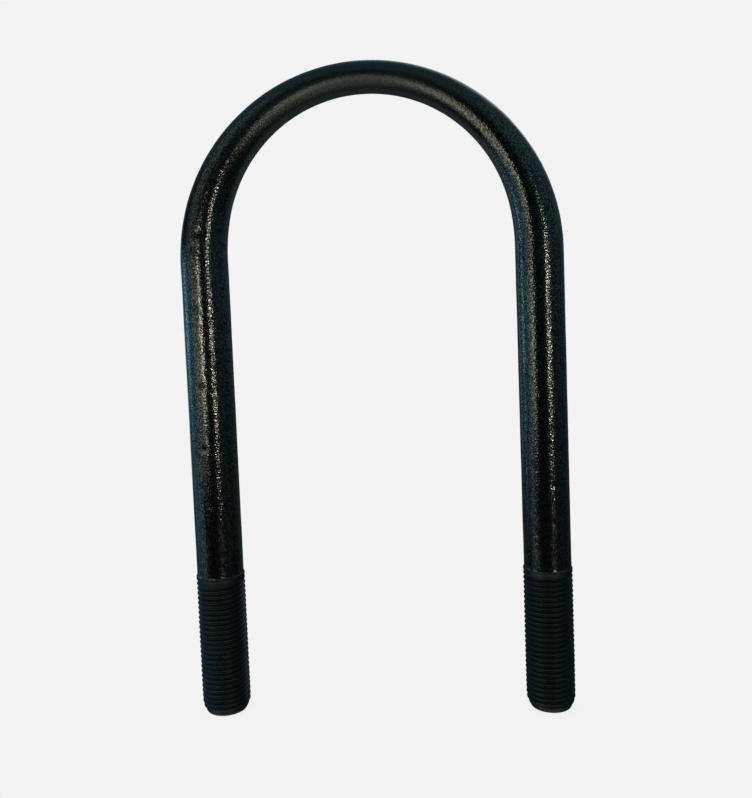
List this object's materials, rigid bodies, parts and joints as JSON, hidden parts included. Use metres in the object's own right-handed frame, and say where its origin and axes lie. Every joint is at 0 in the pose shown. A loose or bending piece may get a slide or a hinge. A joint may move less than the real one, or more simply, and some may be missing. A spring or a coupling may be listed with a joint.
{
  "type": "u-bolt",
  "caption": "Round-bar U-bolt with a forged, inside-flattened bend and two threaded legs, for clamping a round tube or axle to a plate or spring seat.",
  "frame": {"origin": "on the axis of the tube that the forged seat takes, in the middle of the bar's thickness", "axes": "+Y along the tube's axis, +X from the left leg to the right leg, +Z from the threaded ends towards the crown"},
  "size_m": [0.0936, 0.0126, 0.1585],
  "materials": {
    "black_steel": "blue-black oxide over forged mill scale, semi-gloss on the bar and matte in the thread"
  },
  "bodies": {
    "root": {"u_bolt": "black_steel"}
  },
  "joints": []
}
